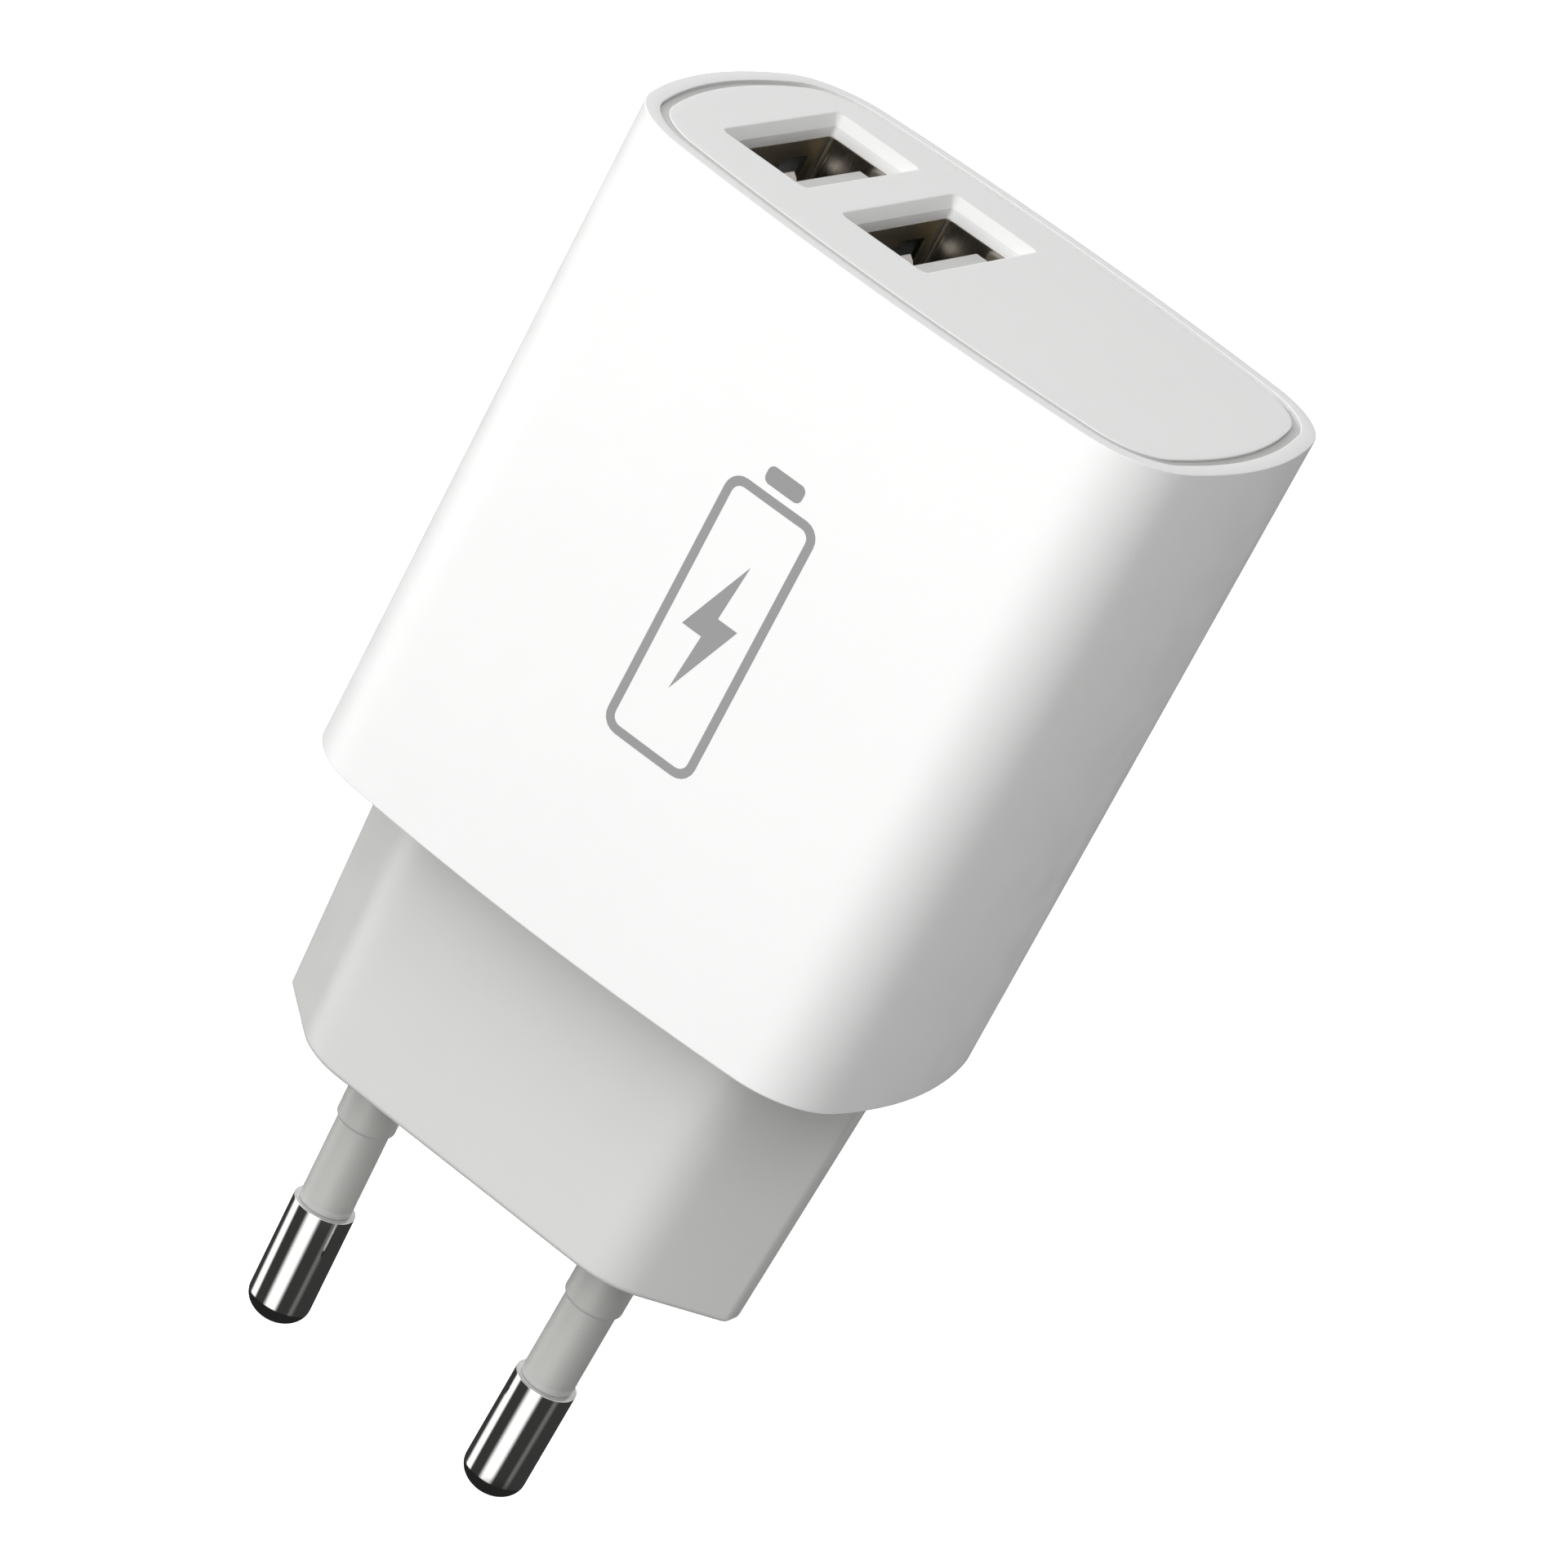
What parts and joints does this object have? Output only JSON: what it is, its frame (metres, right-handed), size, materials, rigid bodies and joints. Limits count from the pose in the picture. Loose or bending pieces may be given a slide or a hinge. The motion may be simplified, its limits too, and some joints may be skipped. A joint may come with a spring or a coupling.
{
  "type": "usb wall charger",
  "caption": "Slim wall charger: two round pins on a hexagonal nose, an oval housing and USB-A sockets in its flush end panel.",
  "frame": {"origin": "middle of the plug nose's end face, between the pins", "axes": "-Z along the pins into the wall socket, +Z towards the USB panel, X across the two pins, -Y the plain front face"},
  "size_m": [0.0408, 0.0262, 0.0812],
  "materials": {
    "housing_plastic": "satin white moulding",
    "panel_plastic": "satin light grey-white moulding",
    "base_plastic": "satin white moulding",
    "pin_nickel": "bright nickel plating on brass",
    "sleeve_plastic": "smooth grey-white insulation",
    "wire_insulation": "soft wire insulation",
    "shell_steel": "bright tin-plated strip",
    "tongue_plastic": "off-white moulding",
    "contact_gold": "gold flash on bronze strip",
    "board_laminate": "green solder mask",
    "header_plastic": "black moulding",
    "fuse_coating": "painted resistor coating",
    "choke_film": "shrink film",
    "chip_epoxy": "moulded epoxy",
    "can_film_black": "printed-free film over an aluminium can",
    "can_film_green": "film over an aluminium can",
    "ferrite": "ground ferrite",
    "bobbin_plastic": "black moulding",
    "winding_tape": "polyester tape over the winding",
    "disc_coating": "dipped coating"
  },
  "bodies": {
    "charger": {"housing": "housing_plastic", "port_panel": "panel_plastic", "plug_base": "base_plastic", "pin_left": "pin_nickel", "pin_right": "pin_nickel", "pin_sleeve_left": "sleeve_plastic", "pin_sleeve_right": "sleeve_plastic", "mains_wire_left": "wire_insulation", "mains_wire_right": "wire_insulation", "usb_shell_a": "shell_steel", "usb_shell_b": "shell_steel", "usb_insulator_a": "tongue_plastic", "usb_insulator_b": "tongue_plastic", "main_board": "board_laminate", "port_board": "board_laminate", "board_header": "header_plastic", "fuse_resistor": "fuse_coating", "filter_choke": "choke_film", "bridge_rectifier": "chip_epoxy", "input_capacitor_upper": "can_film_black", "input_capacitor_lower": "can_film_black", "transformer_core_upper": "ferrite", "transformer_core_lower": "ferrite", "transformer_bobbin": "bobbin_plastic", "transformer_winding": "winding_tape", "controller_chip": "chip_epoxy", "snubber_diode": "chip_epoxy", "safety_capacitor": "disc_coating", "optocoupler": "chip_epoxy", "output_rectifier": "chip_epoxy", "output_capacitor_front": "can_film_green", "output_capacitor_back": "can_film_green", "output_choke": "choke_film", "charge_chip": "chip_epoxy", "contact_tail_a1": "contact_gold", "contact_tail_a2": "contact_gold", "contact_tail_a3": "contact_gold", "contact_tail_a4": "contact_gold", "contact_tail_b1": "contact_gold", "contact_tail_b2": "contact_gold", "contact_tail_b3": "contact_gold", "contact_tail_b4": "contact_gold"},
    "contacts_a": {"contact_leaf_a1": "contact_gold", "contact_leaf_a2": "contact_gold", "contact_leaf_a3": "contact_gold", "contact_leaf_a4": "contact_gold"},
    "contacts_b": {"contact_leaf_b1": "contact_gold", "contact_leaf_b2": "contact_gold", "contact_leaf_b3": "contact_gold", "contact_leaf_b4": "contact_gold"}
  },
  "joints": [
    {"name": "contact_press_a", "type": "hinge", "parent": "charger", "child": "contacts_a", "pos_m": [-0.01134, 0.0007, 0.0508], "axis": [0, 1, 0], "range_deg": [0, 3.5], "stiffness_Nm_per_rad": 0.28},
    {"name": "contact_press_b", "type": "hinge", "parent": "charger", "child": "contacts_b", "pos_m": [-0.00262, 0.0007, 0.0508], "axis": [0, 1, 0], "range_deg": [0, 3.5], "stiffness_Nm_per_rad": 0.28}
  ]
}
